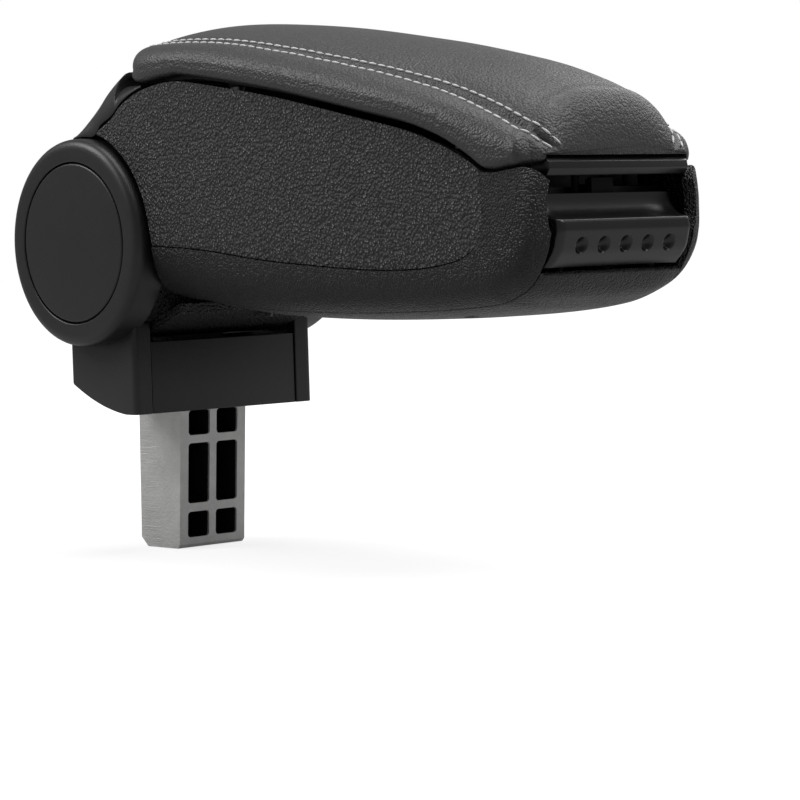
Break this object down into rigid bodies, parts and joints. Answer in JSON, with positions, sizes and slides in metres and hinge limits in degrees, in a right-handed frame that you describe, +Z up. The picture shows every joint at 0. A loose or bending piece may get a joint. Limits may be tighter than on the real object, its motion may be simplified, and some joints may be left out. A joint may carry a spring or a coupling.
{
  "type": "car centre armrest",
  "caption": "Folding centre armrest with a padded leather lid over a storage bin, a front finger latch and a drum hinge on a cast stub.",
  "frame": {"origin": "centre of the stub's section where it leaves the flat underside of the foot", "axes": "+X forward along the armrest, +Y to the left, +Z up, opposite the way the stub points"},
  "size_m": [0.3095, 0.123, 0.226],
  "materials": {
    "satin_black": "satin moulded plastic",
    "grained_black": "fine pebble grain",
    "pebbled_black": "strong pebble grain",
    "gloss_black": "half gloss",
    "charcoal_leather": "fine grained leather",
    "cast_aluminium": "die cast, lightly brushed",
    "bright_steel": "plated",
    "blacked_steel": "black plated",
    "dark_felt": "short felt",
    "soft_rubber": "matt"
  },
  "bodies": {
    "foot": {"stub_casting": "cast_aluminium", "right_cheek": "satin_black", "left_cheek": "satin_black", "right_cap": "satin_black", "left_cap": "satin_black", "front_panel": "satin_black", "rear_panel": "satin_black", "hinge_axle": "bright_steel", "axle_nut": "bright_steel", "friction_washers": "bright_steel", "stop_pin": "bright_steel", "foot_screws": "bright_steel"},
    "armrest": {"hinge_barrel": "grained_black", "barrel_bushes": "soft_rubber", "belly_shell": "grained_black", "right_side_shell": "grained_black", "left_side_shell": "grained_black", "right_side_panel": "pebbled_black", "left_side_panel": "pebbled_black", "rear_cover": "satin_black", "storage_bin": "satin_black", "bin_mat": "dark_felt", "front_crossbar": "satin_black", "lid_hinge_pin": "bright_steel", "latch_pivot_pin": "bright_steel", "latch_spring": "bright_steel", "shell_screws": "bright_steel"},
    "lid": {"lid_tray": "satin_black", "lid_trim_bar": "gloss_black", "lid_cushion": "charcoal_leather", "lid_liner": "dark_felt", "lid_striker": "blacked_steel", "lid_screws": "bright_steel", "lid_bumpers": "soft_rubber"},
    "latch": {"latch_handle": "gloss_black", "latch_hook": "blacked_steel"}
  },
  "joints": [
    {"name": "armrest_tilt", "type": "hinge", "parent": "foot", "child": "armrest", "pos_m": [-0.002, 0, 0.074], "axis": [0, -1, 0], "range_deg": [0, 90]},
    {"name": "lid_hinge", "type": "hinge", "parent": "armrest", "child": "lid", "pos_m": [0.0245, 0, 0.146], "axis": [0, -1, 0], "range_deg": [0, 65]},
    {"name": "latch_pull", "type": "hinge", "parent": "armrest", "child": "latch", "pos_m": [0.2485, 0, 0.062], "axis": [0, 1, 0], "range_deg": [0, 10], "stiffness_Nm_per_rad": 0.35, "springref_deg": -11.46}
  ]
}
